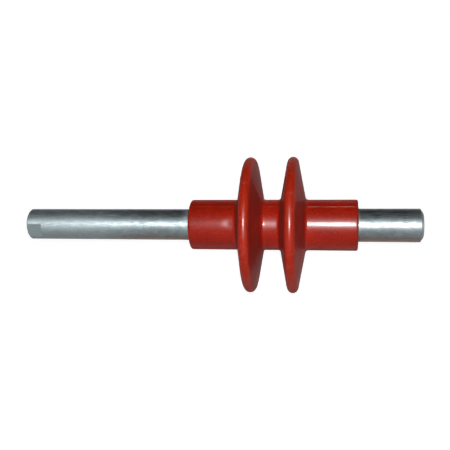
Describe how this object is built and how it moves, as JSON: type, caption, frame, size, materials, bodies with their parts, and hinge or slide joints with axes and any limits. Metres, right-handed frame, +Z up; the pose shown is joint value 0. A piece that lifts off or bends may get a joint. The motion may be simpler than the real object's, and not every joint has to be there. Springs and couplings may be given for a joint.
{
  "type": "epoxy drive insulator",
  "caption": "Insulated drive shaft: a red cast-epoxy barrel with round sheds, a long steel shaft with a milled drive flat cast into its left end and a short steel stub into its right end.",
  "frame": {"origin": "on the shaft axis, at the epoxy body's end face where the long shaft comes out", "axes": "+X along the shaft axis from the long shaft to the short stub, -Y out of the milled drive flat, +Z up"},
  "size_m": [0.3185, 0.1074, 0.1074],
  "materials": {
    "red_epoxy": "glossy cast epoxy resin, straight from a smooth mould",
    "long_steel": "bright drawn bar with a thin cloudy zinc coat",
    "stub_steel": "bright drawn bar with a thin cloudy zinc coat"
  },
  "bodies": {
    "root": {"epoxy_body": "red_epoxy", "long_shaft": "long_steel", "short_stub": "stub_steel"}
  },
  "joints": []
}
